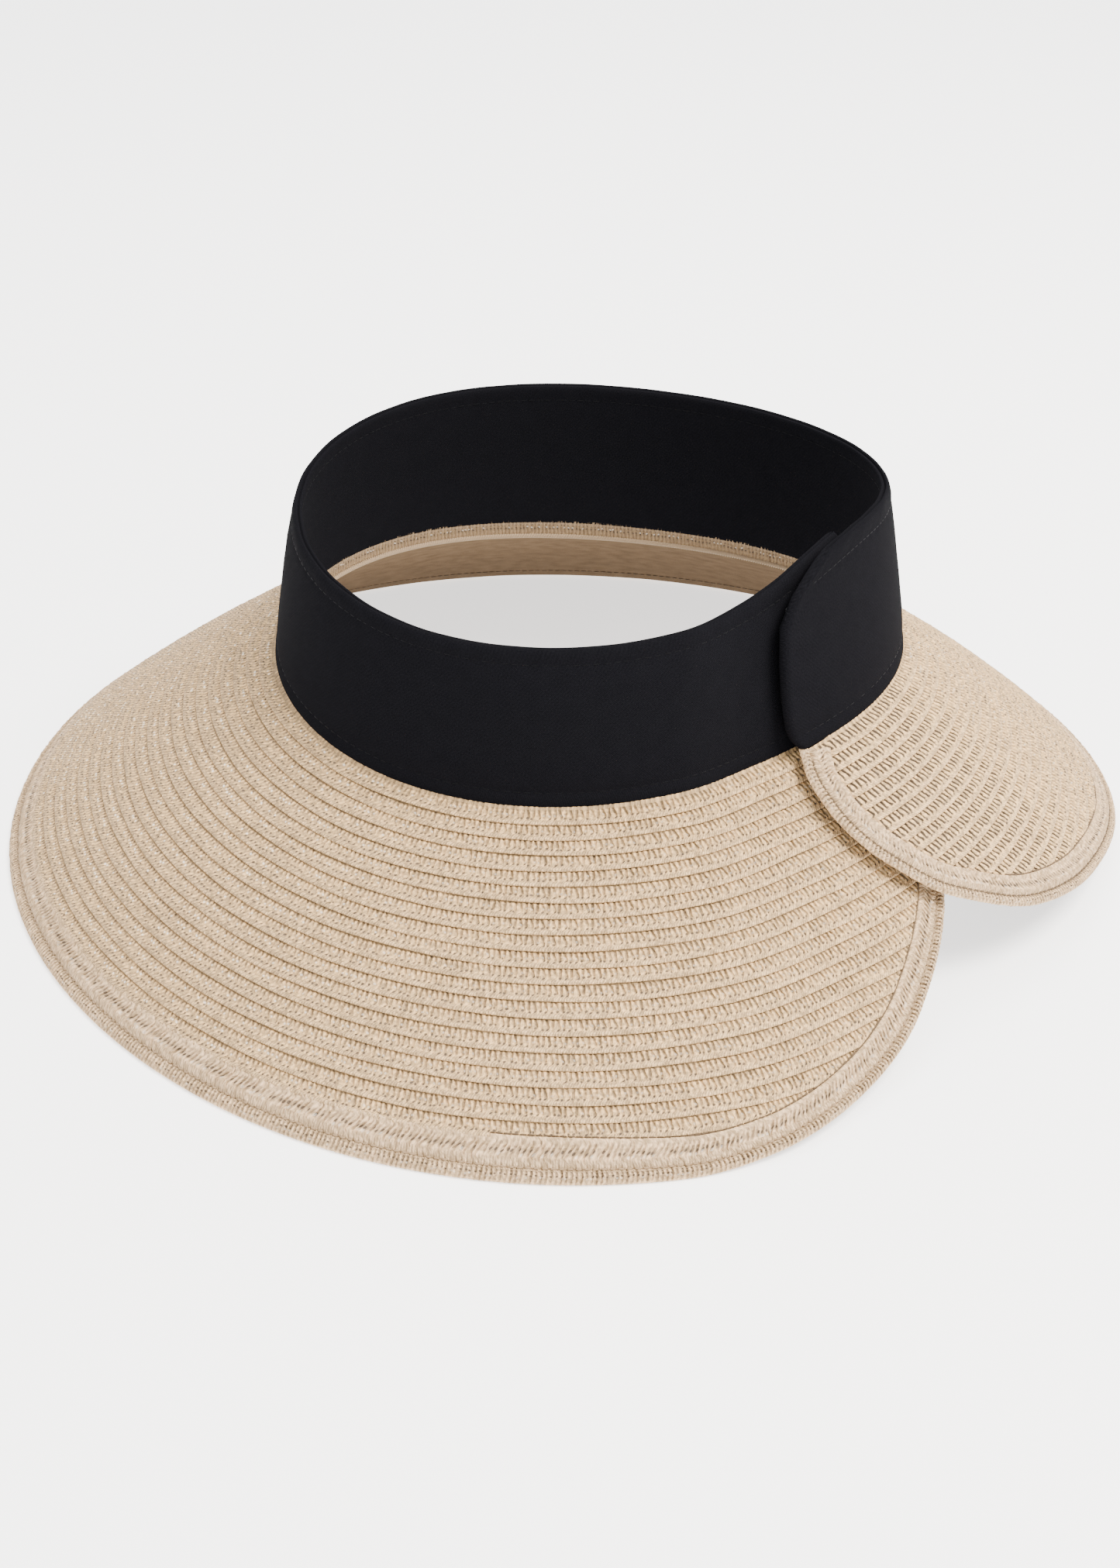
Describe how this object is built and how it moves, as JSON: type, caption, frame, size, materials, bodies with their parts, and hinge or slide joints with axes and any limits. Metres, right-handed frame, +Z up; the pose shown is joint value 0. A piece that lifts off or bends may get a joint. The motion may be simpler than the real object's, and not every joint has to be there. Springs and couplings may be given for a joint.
{
  "type": "sun visor",
  "caption": "Wide-brimmed wrap-round straw sun visor with an open crown, a black fabric headband and an outer flap that closes over the inner end with hook and loop.",
  "frame": {"origin": "middle of the bounding box's bottom face, on the plane that the brim's rim stands on", "axes": "+Z up through the open crown; the closure flap's free end points towards -Y and a little +X, and the wearer's forehead is towards -X and +Y"},
  "size_m": [0.346, 0.3536, 0.1164],
  "materials": {
    "straw": "matte woven paper straw",
    "border_straw": "matte woven paper straw",
    "brim_lining_cloth": "matte cloth",
    "headband_cloth": "matte cotton twill",
    "stiffener": "matte non-woven",
    "piping": "matte cord",
    "loop_pile": "brushed pile",
    "hook_tape": "moulded hooks"
  },
  "bodies": {
    "visor": {"straw_row_01": "straw", "straw_row_02": "straw", "straw_row_03": "straw", "straw_row_04": "straw", "straw_row_05": "straw", "straw_row_06": "straw", "straw_row_07": "straw", "straw_row_08": "straw", "straw_row_09": "straw", "straw_row_10": "straw", "straw_row_11": "straw", "straw_row_12": "straw", "straw_row_13": "straw", "straw_row_14": "straw", "straw_row_15": "straw", "straw_row_16": "straw", "straw_row_17": "straw", "straw_row_18": "straw", "straw_row_19": "straw", "straw_row_20": "straw", "border_braid": "border_straw", "edge_braid": "border_straw", "brim_lining": "brim_lining_cloth", "headband_outer": "headband_cloth", "headband_stiffener": "stiffener", "headband_lining": "headband_cloth", "straw_collar": "straw", "seam_piping": "piping", "loop_tape": "loop_pile"},
    "outer_flap": {"flap_row_01": "straw", "flap_row_02": "straw", "flap_row_03": "straw", "flap_row_04": "straw", "flap_row_05": "straw", "flap_row_06": "straw", "flap_row_07": "straw", "flap_row_08": "straw", "flap_row_09": "straw", "flap_row_10": "straw", "flap_row_11": "straw", "flap_row_12": "straw", "flap_row_13": "straw", "flap_row_14": "straw", "flap_row_15": "straw", "flap_row_16": "straw", "flap_row_17": "straw", "flap_row_18": "straw", "flap_border_braid": "border_straw", "flap_edge_braid": "border_straw", "flap_lining": "brim_lining_cloth", "flap_headband_outer": "headband_cloth", "flap_headband_stiffener": "stiffener", "flap_headband_lining": "headband_cloth", "flap_straw_collar": "straw", "flap_seam_piping": "piping", "hook_tape": "hook_tape"}
  },
  "joints": [
    {"name": "flap_peel", "type": "hinge", "parent": "visor", "child": "outer_flap", "pos_m": [0.12868, -0.01834, 0.06117], "axis": [-0.569, 0.08, 0.8184], "range_deg": [0, 30]}
  ]
}
